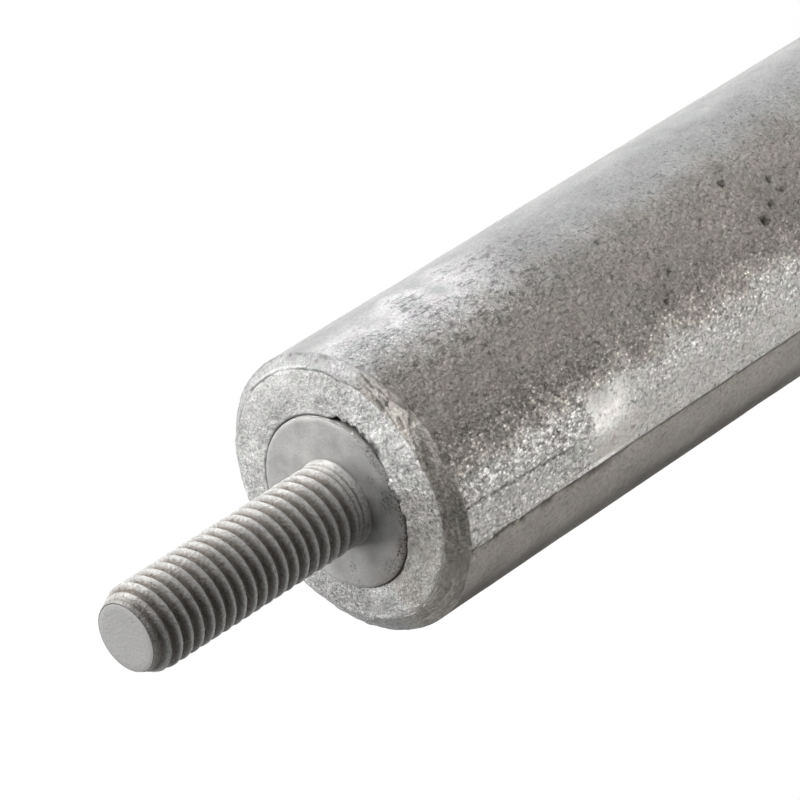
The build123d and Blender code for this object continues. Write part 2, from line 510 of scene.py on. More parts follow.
def end_features(t, psi, points):
    """Displacement along the normal over the end, in millimetres, and a mask of painted shade in the crack
    and the torn shoulder.
    """
    path = t["path"]
    face = smooth(0.97, 1.05, path) * smooth(2.1, 1.95, path)
    shoulder = smooth(1.95, 2.1, path) * smooth(3.2, 2.95, path)
    around = np.stack([points[:, 0] * 0.25, points[:, 1] * 0.25, t["radius"] - points[:, 2]], axis=1)
    lumpy = smooth(-80.0, -50.0, psi) * smooth(175.0, 150.0, psi)
    lift = 0.07 * face * rough_noise(points, 0.9, 31, 4)
    lumps = 0.06 * rough_noise(around, (0.5, 0.5, 0.35), 37, 3)
    lumps = lumps + 0.12 * lumpy * rough_noise(points, 1.3, 38, 4)
    lift = lift + shoulder * lumps + 0.05 * bump(path, 2.0, 0.25) * rough_noise(points, 1.0, 35, 3)
    wobble = 0.13 * rough_noise(points, 1.8, 39, 4) + 0.05 * rough_noise(points, 0.5, 69, 2)
    crack = bump(path + wobble, CRACK_PATH, 0.05) * smooth(54.0, 40.0, psi) * smooth(-64.0, -54.0, psi)
    crack = crack * np.clip(0.55 + rough_noise(points, 2.4, 45, 2), 0.1, 1.0)
    crest = bump(path + wobble, CRACK_PATH + 0.16, 0.16)
    crest = crest * smooth(20.0, 10.0, psi) * smooth(-50.0, -40.0, psi)
    torn, torn_shade = torn_shoulder(psi, path, rough_noise(points, 0.8, 41, 3))
    lift = lift - 0.12 * crack + 0.08 * crest + torn * shoulder
    return lift, np.clip(crack + torn_shade * shoulder, 0.0, 1.0)


def broken_lip(psi, points):
    """How far the lip has crumbled away from the collar, in millimetres."""
    broken = smooth(-84.0, -72.0, psi) * smooth(-34.0, -46.0, psi)
    ragged = rough_noise(points, 0.7, 53, 3)
    crumbled = broken * np.clip(0.34 + 0.5 * ragged, 0.04, 0.7)
    elsewhere = 0.04 * np.clip(rough_noise(points, 0.9, 59, 2), 0.0, 1.0)
    return crumbled + elsewhere


def burr(path, psi, points):
    """How far the magnesium creeps up the collar's wall and in over its edge, in millimetres."""
    ragged = rough_noise(points, 0.6, 61, 3)
    height = 0.27 + 0.1 * bump(psi, -155.0, 35.0) + 0.14 * ragged
    curl = bump(psi, -98.0, 30.0)
    height = height * bump(psi, -128.0, 44.0) + curl * (0.3 + 0.12 * ragged)
    height = height * smooth(0.92, 0.99, path) * smooth(1.16, 1.02, path)
    inward = curl * np.clip(0.24 + 0.3 * ragged, 0.0, 0.5)
    return height, inward * smooth(0.94, 0.97, path) * smooth(1.1, 1.0, path)


def shape_rod(t):
    """Final points of the rod, and what the material's masks need from their making."""
    psi, path = azimuth(t), t["path"]
    uncut = positions(t)
    crumb = broken_lip(psi, uncut * (1.0, 1.0, 0.0)) * smooth(0.85, 0.97, path) * smooth(1.3, 1.0, path)
    t["radius"] = t["radius"] + crumb
    side = smooth(2.97, 3.17, path + 0.2 * rough_noise(uncut, 1.2, 29, 3))
    side_lift, side_shade = side_features(psi, t["z"], uncut)
    end_lift, end_shade = end_features(t, psi, uncut)
    lift = side_lift * side + end_lift * (1.0 - side)
    lift = np.where((path > 0.9) & (path <= CHAMFER_PATH), lift, 0.0)
    step = mould_step(psi) * smooth(2.6, 3.0, path) * (path < FOOT_PATH)
    height, inward = burr(path, psi, uncut)
    outward = np.stack([np.cos(t["theta"]), np.sin(t["theta"]), np.zeros_like(psi)], axis=1)
    points = positions(t) + normals(t) * lift[:, None] + outward * (step - inward)[:, None]
    points[:, 2] += height
    shade_and_soot = np.clip(side_shade * side + end_shade * (1.0 - side), 0.0, 1.0)
    return points, psi, side, shade_and_soot, crumb


def skin_look(psi, z, points):
    """The side's tone with its painted light and shade, pebbling, cold-flow folds and warm staining."""
    wander = smooth(-134.0, -122.0, psi) * smooth(170.0, 150.0, psi)
    broad = 2.5 + 3.5 * smooth(-80.0, -55.0, psi)
    place = psi + wander * (broad * rough_noise(points, 5.0, 71, 3) + 4.0 * rough_noise(points, 1.6, 72, 2))
    place = place + seam_wander(psi, z, points)
    for middle, height, half, reach, move in TONGUES:
        place = place + move * bump(np.hypot((psi - middle) / half, (z - height) / reach), 0.0, 1.4)
    down = smooth(-15.0, -26.0, z)
    tone, pebble = 0.0, 0.0
    for start, border, near, far, near_pebble, far_pebble in ZONES:
        inside = smooth(start - border, start + border, place)
        tone = tone + (near + (far - near) * down - tone) * inside
        pebble = pebble + (near_pebble + (far_pebble - near_pebble) * down - pebble) * inside
    cloud = rough_noise(points, 2.2, 79, 3)
    below_edge = smooth(-18.2, -18.7, z + 0.25 * cloud) * smooth(-134.9, -134.2, psi)
    rubbed = below_edge * smooth(-104.0, -110.0, psi + 3.0 * cloud) * smooth(-28.0, -21.0, z + cloud)
    shiny = rubbed * smooth(-127.0, -118.0, psi + 3.0 * cloud) * smooth(-27.5, -21.0, z + cloud)
    glint = bump(psi, SEAM + 1.2, 1.5) * bump(z, DENT_HEIGHT, 5.0)
    # glint is a painted highlight on the seam's ridge; the shiny part of the rubbed patch is paler, partly as
    # cleaner metal and partly as a painted reflection.
    tone = tone * (1.0 - 0.15 * rubbed + 0.55 * shiny + 0.8 * glint)
    tone = tone * (1.0 + 0.1 * rough_noise(points, 3.0, 73, 3))
    unseen = smooth(10.0, 50.0, psi) + smooth(-162.0, -178.0, psi)
    tone = tone * (1.0 + 0.2 * unseen * rough_noise(points, 7.0, 75, 4))
    folds = smooth(-78.0, -58.0, place) * smooth(-24.0, -36.0, place)
    folds = folds * (0.25 + 0.75 * smooth(-32.0, -20.0, z))
    warm = smooth(-44.0, -70.0, place) * (1.0 - 0.65 * smooth(0.32, 0.55, tone))
    return {"tone": tone, "pebble": pebble * (1.0 - 0.7 * rubbed), "folds": folds, "warm": warm}


# Tones round the axis for the end face and the shoulder, for tone_round; their rises and falls are partly
# painted light and shade.
FACE_BUMPS = (
    (-132.0, 28.0, 0.06),
    (-95.0, 52.0, 0.11),
    (-56.0, 14.0, -0.02),
    (-34.0, 20.0, 0.02),
    (130.0, 35.0, -0.05),
)
SHOULDER_BUMPS = (-120.0, 13.0, -0.03), (-78.0, 21.0, 0.11), (-58.0, 12.0, -0.025)
SHOULDER_STEPS = ((-138.0, -152.0, 0.03),)
SHOULDER_FRONT_STEPS = (-112.0, -95.0, 0.04), (-58.0, -40.0, 0.045), (-35.0, -22.0, 0.02)


def face_tone(psi, points):
    tone = tone_round(psi, 0.385, FACE_BUMPS) + 0.06 * bump(np.abs(psi), 180.0, 24.0)
    return tone * (1.0 + 0.25 * rough_noise(points, 1.9, 43, 4))


def shoulder_tone(psi, path):
    """The shoulder's tone, with the pale crest beside the crack."""
    tone = tone_round(psi, 0.24, SHOULDER_BUMPS, SHOULDER_STEPS)
    tone = tone + smooth(165.0, 130.0, psi) * tone_round(psi, 0.0, (), SHOULDER_FRONT_STEPS)
    pale_crest = bump(path, CRACK_PATH + 0.17, 0.14) * bump(psi, -10.0, 30.0)
    return tone * (1.0 + 0.5 * pale_crest)


def soot_and_gap_shade(t, psi, points):
    """Dark specks round the lip and along the shoulder's rear edge, and the shade of the hidden gap."""
    path = t["path"]
    lip = bump(path, 1.0, 0.19) * bump(psi, -70.0, 45.0)
    total = 0.9 * lip * smooth(-0.1, 0.4, rough_noise(points, 0.5, 63, 3))
    rear_edge = bump(path + 0.05 * rough_noise(points, 0.9, 65, 3), 2.9, 0.16) * bump(psi, -16.0, 42.0)
    total = total + 0.7 * rear_edge * smooth(-0.3, 0.3, rough_noise(points, 0.5, 67, 3))
    hidden = 0.5 * np.clip(np.sin(t["theta"]), 0.0, 1.0)  # the collar hides this much of the lip
    gap = smooth(0.22, 0.1, t["radius"] - COLLAR_RADIUS - hidden) * bump(psi, 45.0, 75.0) * (path > 0.9)
    return total + 0.8 * gap


def rod_masks(t, psi, side, shade_and_soot, crumb):
    """Numbers that the magnesium reads at each point."""
    path = t["path"]
    points = positions(t)
    face = smooth(0.97, 1.02, path) * smooth(2.12, 2.0, path)
    shoulder = smooth(2.0, 2.12, path) * (1.0 - side)
    granular = face + shoulder * smooth(-62.0, -46.0, psi) * smooth(178.0, 160.0, psi)
    granular = np.clip(granular, 0.0, 1.0)
    patchy = 0.7 + 0.5 * rough_noise(points, 2.3, 47, 3) - 0.34 * bump(psi, -84.0, 50.0)
    skin = skin_look(psi, t["z"], points)
    flake = smooth(-0.03, 0.06, inside_flake(psi, path) + 0.06 * rough_noise(points, 0.8, 41, 3))
    tone = skin["tone"] * side + face_tone(psi, points) * face
    tone = tone + shoulder_tone(psi, path) * shoulder * (1.0 + 0.22 * flake)
    warm = skin["warm"] * side + face * (0.12 + 0.4 * smooth(-90.0, -140.0, psi))
    # Painted shade in the lip's crumbled hollows and on the gap's inner wall, with the soot specks and the
    # painted shade of the hidden gap.
    shade_and_soot = shade_and_soot + smooth(0.0, 0.2, crumb) * 0.6 + smooth(0.95, 0.9, path) + soot_and_gap_shade(t, psi, points)
    return {
        "granular": granular * np.clip(patchy, 0.3, 1.0),
        "shoulder": shoulder * (1.0 - granular) * (1.0 - 0.6 * flake),
        "side": side,
        "tone": tone,
        "warm": warm + 0.8 * shoulder * (1.0 - granular),
        "pebble": skin["pebble"],
        "folds": skin["folds"] * side,
        "shade_and_soot": np.clip(shade_and_soot, 0.0, 1.0),
    }


def cast_rod():
    rings = rod_rings()
    t = rings.table()
    points, *made = shape_rod(t)
    rod = make_piece("cast_rod", points, rings.faces(), rod_masks(t, *made))
    rod.data.materials.append(magnesium())
    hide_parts("magnesium_body")
    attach(rod, "root")
    return rod


# ---- steel insert ----

STUD_COLUMNS = 240
ROWS_PER_PITCH = 16
CREST_RADIUS = 3.95
ROOT_RADIUS = 3.38
NECK_RADIUS = 3.9
NECK_GROOVES, NECK_GROOVE_DEPTH = (0.66, 1.24), 0.24  # narrow grooves where the thread has faded
NECK_GROOVE_HALF = 0.16
TIP_RADIUS, TIP_TAPER = 3.05, 0.5  # the thread grows out of a tapered tip
TIP_GROOVES = (0.18, 0.15, 0.1), (0.8, 0.32, 0.3)  # grooves round the tip: how far back, half width, depth
TIP_GROOVES_AT = -110.0  # the azimuth where they are deepest
THREAD_PHASE = 0.04  # where on the turn a crest meets azimuth 0, as a part of the pitch
RUN_OUT = 0.9, 1.9  # heights above the collar between which the thread grows to its full depth
TIP_EDGE = 0.05  # the tip's broken edge
COLLAR_ROWS = 15


def thread_profile(turn):
    """0 at the thread's root and 1 over its broad crest; turn counts pitches."""
    off = np.abs(turn - np.floor(turn) - 0.5) * 2.0  # 0 at the crest's middle, 1 at the root
    straight = np.clip((0.82 - off) / 0.57, 0.0, 1.0)
    return 0.8 * straight + 0.2 * smooth(0.95, 0.1, off)


def thread_turn(theta, z):
    return z / THREAD_PITCH - theta / (2.0 * np.pi) + THREAD_PHASE


def tip_grooves(theta, z):
    """Depth of the short grooves behind the tip's face, where the thread starts."""
    depth = sum(deep * bump(z, STUD_LENGTH - back, half) for back, half, deep in TIP_GROOVES)
    return depth * (0.5 + 0.5 * np.cos(theta - math.radians(TIP_GROOVES_AT))) ** 1.5


def neck_groove(z):
    """1 at the bottom of the neck's grooves, 0 beside them."""
    return sum(np.clip(1.0 - abs(z - middle) / NECK_GROOVE_HALF, 0.0, 1.0) for middle in NECK_GROOVES)


def stud_radius(theta, z):
    turn = thread_turn(theta, z)
    cut = smooth(*RUN_OUT, z)
    root = NECK_RADIUS + (ROOT_RADIUS - NECK_RADIUS) * cut
    crest = NECK_RADIUS + (CREST_RADIUS - NECK_RADIUS) * cut
    radius = root + (crest - root) * thread_profile(turn)
    radius = radius - NECK_GROOVE_DEPTH * (1.0 - cut) * neck_groove(z)
    tip = TIP_RADIUS + (STUD_LENGTH - z) * TIP_TAPER
    return np.minimum(radius, tip) - tip_grooves(theta, z)


def insert_rings():
    """Rings from the tip down the stud, over the collar and down the shank.

    path is 0 on the tip's face, 1 on the stud, 1.5 in its root's fillet, 2 on the collar's face, 2.5 round
    its edge, 3 on its wall, 3.5 on its underside and 4 on the shank.
    """
    rings = Rings()
    theta = rings.theta(STUD_COLUMNS)
    for radius in (0.5, 1.5):
        rings.add(STUD_COLUMNS // 2, 0.0, radius, STUD_LENGTH, tilt=UP)
    for radius, drop in ((2.3, 0.0), (2.85, 0.0), (2.98, 0.02)):
        rings.add(STUD_COLUMNS, 0.0, radius, STUD_LENGTH - drop, tilt=UP)
    start = STUD_LENGTH - TIP_EDGE
    rows = int((start - ROOT_FILLET) / THREAD_PITCH * ROWS_PER_PITCH)
    for k in range(rows + 1):
        z = start - k * THREAD_PITCH / ROWS_PER_PITCH
        rings.add(STUD_COLUMNS, 1.0, stud_radius(theta, z), z)
    add_collar_rings(rings)
    for z in shank_heights():
        count = STUD_COLUMNS // 4
        rings.add(count, 4.0, shank_radius(rings.theta(count), z), z)
    return rings


def add_collar_rings(rings):
    """Root fillet, collar face, its rounded edge, its wall and its underside."""
    start = stud_radius(rings.theta(STUD_COLUMNS), ROOT_FILLET)
    for angle in (20.0, 45.0, 70.0, 90.0):
        a = math.radians(angle)
        radius = start + ROOT_FILLET * (1 - math.cos(a))
        rings.add(STUD_COLUMNS, 1.5, radius, ROOT_FILLET * (1 - math.sin(a)), tilt=angle)
    rings.add(STUD_COLUMNS, 2.0, start + ROOT_FILLET + 0.04, 0.0, tilt=UP)
    inner, outer = 4.25, COLLAR_RADIUS - COLLAR_EDGE
    for k in range(COLLAR_ROWS + 1):
        rings.add(STUD_COLUMNS, 2.0, inner + (outer - inner) * k / COLLAR_ROWS, 0.0, tilt=UP)
    for angle in (60.0, 30.0, 0.0):
        a = math.radians(angle)
        radius = COLLAR_RADIUS - COLLAR_EDGE * (1 - math.cos(a))
        rings.add(STUD_COLUMNS, 2.5, radius, -COLLAR_EDGE * (1 - math.sin(a)), tilt=angle)
    for z in (-0.5, -1.0, -1.8, -COLLAR_THICKNESS):
        rings.add(STUD_COLUMNS, 3.0, COLLAR_RADIUS, z)
    for radius, count in ((6.5, STUD_COLUMNS // 2), (4.6, STUD_COLUMNS // 4)):
        rings.add(count, 3.5, radius, -COLLAR_THICKNESS, tilt=DOWN)


# Patches of dark specks on the collar: azimuth, radius, half width, strength
SMUDGES = (
    (-109.0, 6.4, 1.5, 1.0),
    (-89.0, 5.7, 0.8, 0.6),
    (-142.0, 7.3, 0.8, 0.6),
    (-165.0, 7.3, 1.4, 0.9),
    (153.0, 5.8, 0.5, 0.8),
    (157.0, 7.3, 0.9, 0.7),
    (-60.0, 7.0, 0.8, 0.3),
)


def smudged(t, psi, points):
    """How densely dark specks lie on the collar, in patches and in a crust at its rim."""
    total = np.zeros_like(t["z"])
    ragged = 0.45 * rough_noise(points, 0.8, 95, 3)
    for turn, radius, half, strength in SMUDGES:
        middle = radius * math.cos(math.radians(turn)), radius * math.sin(math.radians(turn))
        off = np.hypot(points[:, 0] - middle[0], points[:, 1] - middle[1])
        total = np.maximum(total, strength * smooth(half, half * 0.1, off + ragged))
    crust = smooth(7.0, 7.35, t["radius"] + 0.3 * rough_noise(points, 0.9, 99, 3))
    crust = crust * smooth(-60.0, -74.0, psi) * smooth(-176.0, -160.0, psi)
    return np.maximum(total, crust) * (t["path"] > 1.9) * (t["path"] < 2.8)


# Tones round the stud and the collar, for tone_round; they are partly painted light and shade: the stud is
# paler on its lit side towards +X and darker on its shaded side, and the collar is darker where the stud's
# shadow falls on it.
STUD_BUMPS = (-104.0, 42.0, -0.12), (-36.0, 22.0, 0.42)
STUD_STEPS = (-46.0, -66.0, -0.31), (-128.0, -150.0, 0.06), (110.0, 165.0, -0.19)
COLLAR_BUMPS = (-145.0, 24.0, 0.1), (-84.0, 34.0, 0.23), (163.0, 18.0, 0.07)
COLLAR_STEPS = (
    (-95.0, -112.0, -0.2),
    (-125.0, -145.0, 0.14),
    (-160.0, -178.0, -0.2),
    (90.0, 140.0, -0.1),
    (162.0, 178.0, -0.1),
)


def thread_dirt_and_shade(t, psi):
    """1 in the thread's roots and the stud's other grooves, 0 on what stands out; it stands for dirt there
    and for painted shade, which reaches further up the flanks on the shaded side.
    """
    path, below_tip = t["path"], STUD_LENGTH - t["z"]
    depth = 1.0 - thread_profile(thread_turn(t["theta"], t["z"]))
    flank = 0.42 + 0.28 * smooth(-48.0, -72.0, psi) * smooth(-178.0, -160.0, psi)
    low = flank * smooth(0.0, 0.5, depth) + (1.0 - flank) * smooth(0.35, 0.8, depth)
    low = low * smooth(0.2, 0.5, below_tip) * smooth(*RUN_OUT, t["z"]) + 0.9 * neck_groove(t["z"])
    rim_edge = 0.5 * smooth(0.2, 0.06, below_tip)
    grooves = np.clip(3.5 * tip_grooves(t["theta"], t["z"]) - 0.1, 0.0, 1.0)
    return np.maximum(np.maximum(low, grooves), rim_edge) * (path == 1.0)


# The stud's tone round the axis: paler on its lit side towards +X, darker on its shaded side and on the front
# of the tip's taper, painted light and shade.
def stud_tone(t, psi):
    tone = tone_round(psi, 1.3, STUD_BUMPS, STUD_STEPS)
    taper = smooth(0.9, 0.4, STUD_LENGTH - t["z"]) * smooth(-95.0, -65.0, psi)
    return tone * (1.0 - 0.3 * taper)


def insert_masks(t, points):
    """Numbers that the steel reads at each point."""
    path, psi, radius = t["path"], azimuth(t), t["radius"]
    on_tip, on_stud = path < 0.5, path < 1.6
    on_collar = (path > 1.9) * (path < 2.6)
    wall = path > 2.6
    edge = (path > 2.4) * (path < 2.6) * smooth(-128.0, -145.0, psi)
    mottle = rough_noise(points, 1.4, 91, 4)
    burnt = smooth(7.0, 7.4, radius) * (path > 1.9) * smooth(-82.0, -104.0, psi) * smooth(-178.0, -150.0, psi)
    rusty = smooth(6.0, 7.6, radius) * on_collar * (smooth(-95.0, -135.0, psi) + smooth(150.0, 175.0, psi))
    stain_and_shadow = 0.6 * rusty * (0.55 + 1.2 * mottle) + 0.3 * wall + 0.7 * burnt * (0.3 + 0.8 * mottle)
    # Painted shade in the corner round the stud's foot, which goes into the stain mask.
    shadow = 0.35 * smooth(4.35, 4.1, radius) * on_collar
    tone = np.where(on_stud, stud_tone(t, psi), tone_round(psi, 1.03, COLLAR_BUMPS, COLLAR_STEPS))
    # The collar's wall and its rounded edge on the side away from the lamps are made paler, painted light
    # against their shade.
    tone = tone + 0.9 * wall + 0.3 * burnt + 0.5 * edge
    tone = np.where(on_tip, 1.04 + 0.1 * rough_noise(points, 2.2, 97, 3), tone)
    return {
        "thread": smooth(0.5, 1.0, path) * smooth(2.0, 1.6, path),
        "root": thread_dirt_and_shade(t, psi),
        "stain_and_shadow": np.clip(np.maximum(stain_and_shadow, shadow), 0.0, 1.0),
        "smudge": smudged(t, psi, points),
        "tone": tone * (1.0 + 0.22 * on_collar * mottle),
    }


def m8_stud_insert():
    rings = insert_rings()
    t = rings.table()
    points = positions(t)
    worn = (t["path"] == 1.0) * smooth(0.1, 0.7, STUD_LENGTH - t["z"]) * smooth(0.3, 1.0, t["z"])
    lumps = 0.028 * worn * (rough_noise(points, 0.45, 83, 3) - 0.6)
    points = points + normals(t) * lumps[:, None]
    insert = make_piece("m8_stud_insert", points, rings.faces(), insert_masks(t, points))
    insert.data.materials.append(blasted_steel())
    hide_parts("threaded_insert")
    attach(insert, "root")
    return insert


# ---- materials ----


class Nodes:
    """Short calls for the nodes that the materials are made of."""

    def __init__(self, name):
        self.material = bpy.data.materials.new(name)
        self.material.use_nodes = True
        self.tree = self.material.node_tree
        self.shader = next(n for n in self.tree.nodes if n.type == "BSDF_PRINCIPLED")
        self.place = self.node("TexCoord").outputs["Object"]

    def node(self, kind):
        return self.tree.nodes.new("ShaderNode" + kind)

    def link(self, value, socket):
        if hasattr(value, "links"):
            self.tree.links.new(value, socket)
        else:
            socket.default_value = value

    def attribute(self, name):
        node = self.node("Attribute")
        node.attribute_name = name
        return node.outputs["Fac"]

    def math(self, kind, a, b=0.0, c=0.0):
        node = self.node("Math")
        node.operation = kind
        for value, socket in zip((a, b, c), node.inputs):
            self.link(value, socket)
        return node.outputs[0]

    def times(self, product, *factors):
        for factor in factors:
            product = self.math("MULTIPLY", product, factor)
        return product

    def times_plus(self, a, b, c):
        """a times b, plus c."""
        return self.math("MULTIPLY_ADD", a, b, c)

    def stretch(self, per_mm):
        """Object coordinates counted in that many cells a millimetre, along x, y and z."""
        node = self.node("Mapping")
        node.inputs["Scale"].default_value = Vector(per_mm) / MM
        self.link(self.place, node.inputs["Vector"])
        return node.outputs[0]

    def noise(self, per_mm, detail=2.0, roughness=0.5, distortion=0.0):
        node = self.node("TexNoise")
        self.link(self.stretch(per_mm), node.inputs["Vector"])
        node.inputs["Scale"].default_value = 1.0
        node.inputs["Detail"].default_value = detail
        node.inputs["Roughness"].default_value = roughness
        node.inputs["Distortion"].default_value = distortion
        return node.outputs["Fac"]

    def lumps(self, per_mm, waver):
        """Irregular cells: the distance from each one's middle, and a random number for each."""
        bend = self.node("TexNoise")
        place = self.stretch(per_mm)
        self.link(place, bend.inputs["Vector"])
        bend.inputs["Scale"].default_value = 1.3
        bent = self.node("VectorMath")
        bent.operation = "MULTIPLY_ADD"
        for value, socket in zip((bend.outputs["Color"], (waver,) * 3, place), bent.inputs):
            self.link(value, socket)
        cells = self.node("TexVoronoi")
        self.link(bent.outputs[0], cells.inputs["Vector"])
        cells.inputs["Scale"].default_value = 1.0
        split = self.node("SeparateColor")
        self.link(cells.outputs["Color"], split.inputs[0])
        return cells.outputs["Distance"], split.outputs[0]

    def remap(self, value, low, high, to_low, to_high):
        """The value moved from one range into the other, and kept in it."""
        node = self.node("MapRange")
        node.clamp = True
        names = "Value", "From Min", "From Max", "To Min", "To Max"
        for number, name in zip((value, low, high, to_low, to_high), names):
            self.link(number, node.inputs[name])
        return node.outputs[0]

    def mix(self, amount, a, b, kind="MIX"):
        node = self.node("Mix")
        node.data_type, node.blend_type = "RGBA", kind
        sockets = [s for s in node.inputs if s.enabled]
        for value, socket in zip((amount, a, b), sockets):
            self.link(value, socket)
        return next(s for s in node.outputs if s.enabled)

    def bump(self, height):
        """Relief from a height in millimetres."""
        node = self.node("Bump")
        node.inputs["Strength"].default_value = 1.0
        node.inputs["Distance"].default_value = MM
        self.link(height, node.inputs["Height"])
        self.link(node.outputs[0], self.shader.inputs["Normal"])

    def grey(self, value):
        node = self.node("CombineColor")
        for socket in node.inputs:
            self.link(value, socket)
        return node.outputs[0]


def magnesium():
    """Pebbled casting skin, granular end face and streaked shoulder, told apart by the masks."""
    n = Nodes("cast_magnesium_skin")
    masks = ("tone", "warm", "pebble", "folds", "granular", "shoulder", "side", "shade_and_soot")
    tone, warm, pebble, folds, granular, shoulder, side, shade_and_soot = (n.attribute(mask) for mask in masks)
    coarse = n.lumps((1.7, 1.7, 1.35), 0.9)
    small = n.lumps((3.7, 3.7, 2.9), 0.8)
    grit = n.noise((3.4, 3.4, 2.9), 3.0, 0.75)
    grains = n.noise((1.45, 1.2, 1.4), 4.0, 0.72)
    streaks = n.noise((0.8, 0.8, 3.2), 4.0, 0.64, 0.6)
    wrinkles = n.noise((1.9, 1.9, 0.8), 3.0, 0.65, 0.6)
    pebbled = n.times(pebble, side)
    hills = n.times_plus(coarse[0], -0.45, n.times(small[0], -0.12))
    relief = n.times(n.times_plus(grit, 0.25, hills), pebbled)
    relief = n.times_plus(grit, 0.06, relief)
    for waves, where, height in ((grains, granular, 0.5), (wrinkles, folds, 0.3), (streaks, shoulder, 0.35)):
        relief = n.times_plus(n.times(waves, where), height, relief)
    n.bump(relief)
    shade = n.times(tone, n.remap(n.noise((0.5, 0.5, 0.35), 3.0, 0.6), 0.3, 0.7, 0.9, 1.1))
    shade = paint_pebble_light(n, shade, pebbled, coarse, small)
    speckle = n.times_plus(pebble, 0.6, n.times_plus(granular, 0.2, 0.08))
    speckle = n.times_plus(n.remap(grit, 0.3, 0.7, -1.0, 1.0), speckle, 1.0)
    clumps = n.math("ADD", n.remap(grains, 0.32, 0.68, -0.19, 0.2), n.remap(grains, 0.28, 0.38, -0.2, 0.0))
    clumps = n.times_plus(clumps, granular, 1.0)
    strokes = n.times_plus(n.remap(streaks, 0.32, 0.68, -0.35, 0.35), shoulder, 1.0)
    shade = n.times(shade, speckle, clumps, strokes)
    dots = n.remap(n.noise((2.6, 2.6, 2.6), 2.0, 0.6), 0.34, 0.41, 0.5, 0.0)
    holes = n.times(dots, n.remap(pebbled, 0.05, 0.3, 0.0, 1.0))
    # Darker dots on the pebbled skin, and painted shade in the folds' creases.
    cracks = n.times(n.remap(wrinkles, 0.37, 0.47, 0.55, 0.0), folds)
    shade = n.times(shade, n.math("SUBTRACT", 1.0, n.math("MAXIMUM", holes, cracks)))
    # Painted shade and soot from the rod's mask.
    shade = n.times(shade, n.remap(shade_and_soot, 0.0, 1.0, 1.0, 0.2))
    n.link(tinted(n, shade, warm), n.shader.inputs["Base Color"])
    dull = n.remap(tone, 0.1, 0.25, 0.8, 0.3)
    roughness = n.math("MAXIMUM", n.remap(pebbled, 0.0, 1.0, 0.5, 0.32), dull)
    n.link(roughness, n.shader.inputs["Roughness"])
    n.link(n.remap(tone, 0.07, 0.24, 0.0, 0.45), n.shader.inputs["Metallic"])
    n.shader.inputs["Specular IOR Level"].default_value = 0.1
    return n.material


def paint_pebble_light(n, shade, pebbled, coarse, small):
    """Painted glints on some of the pebbles' facets, painted shade in the gaps between them, and scattered
    bright grains as painted sparkles.
    """
    (middle, facet), (fine_middle, fine_facet) = coarse, small
    glint = n.times_plus(facet, 0.5, n.remap(middle, 0.1, 0.75, 0.05, -0.4))
    fine_glint = n.times_plus(fine_facet, 0.5, n.remap(fine_middle, 0.2, 0.7, -0.1, -0.4))
    glint = n.math("ADD", glint, fine_glint)
    shade = n.times(shade, n.times_plus(glint, n.math("POWER", pebbled, 2.5), 1.0))
    # The bright grains are painted sparkles.
    grain = n.remap(n.times_plus(pebbled, 0.55, fine_facet), 1.12, 1.2, 0.0, 0.9)
    grain = n.times(grain, n.remap(fine_middle, 0.15, 0.5, 1.0, 0.0))
    amount = n.remap(pebbled, 0.3, 0.8, 0.2, 1.0)
    return n.times(shade, n.times_plus(grain, amount, 1.0))


def tinted(n, shade, warm):
    """The shade as a colour, warmer where it is stained, with faint pinkish and greenish clouds."""
    clouds = n.remap(n.noise((0.9, 0.9, 0.7), 2.0, 0.5), 0.35, 0.65, 0.0, 1.0)
    stained = n.mix(1.0, n.grey(shade), n.mix(warm, NEUTRAL, WARM), "MULTIPLY")
    return n.mix(1.0, stained, n.mix(clouds, PINKISH, GREENISH), "MULTIPLY")


def blasted_steel():
    """Dull blasted steel, dirty and with painted shade in the thread's roots, stained at the rim, with
    painted shade round the stud's foot.
    """
    n = Nodes("blasted_steel_insert")
    masks = ("root", "thread", "stain_and_shadow", "tone", "smudge")
    root, thread, stain_and_shadow, tone, smudge = (n.attribute(mask) for mask in masks)
    dots = n.noise((4.2, 4.2, 4.2), 2.0, 0.6)
    fine = n.noise((3.4, 3.4, 3.4), 3.0, 0.75)
    n.bump(n.times(fine, n.remap(thread, 0.0, 1.0, 0.035, 0.32)))
    shade = n.remap(thread, 0.0, 1.0, 0.31, 0.42)
    contrast = n.remap(n.math("MAXIMUM", thread, smudge), 0.0, 1.0, 0.07, 0.3)
    grain = n.times_plus(n.remap(fine, 0.3, 0.7, -1.0, 1.0), contrast, 1.0)
    # The root mask darkens and warms the thread's roots: dirt there and painted shade.
    shade = n.times(shade, tone, grain, n.remap(root, 0.0, 1.0, 1.08, 0.36))
    specks = n.times(n.math("ADD", n.remap(dots, 0.52, 0.38, 0.0, 0.5), 0.14), smudge)
    specks = n.math("MAXIMUM", specks, n.remap(dots, 0.33, 0.29, 0.0, 0.5))
    # The stain mask also holds the painted shade round the stud's foot.
    shade = n.times(shade, n.math("SUBTRACT", 1.0, n.times_plus(stain_and_shadow, 0.4, specks)))
    tint = n.mix(n.math("MAXIMUM", stain_and_shadow, root), (1.01, 1.0, 0.98, 1.0), (1.1, 1.0, 0.9, 1.0))
    n.link(n.mix(1.0, n.grey(shade), tint, "MULTIPLY"), n.shader.inputs["Base Color"])
    n.link(n.remap(fine, 0.2, 0.8, 0.4, 0.55), n.shader.inputs["Roughness"])
    n.shader.inputs["Metallic"].default_value = 0.15
    n.shader.inputs["Specular IOR Level"].default_value = 0.2
    return n.material


# ---- studio ----


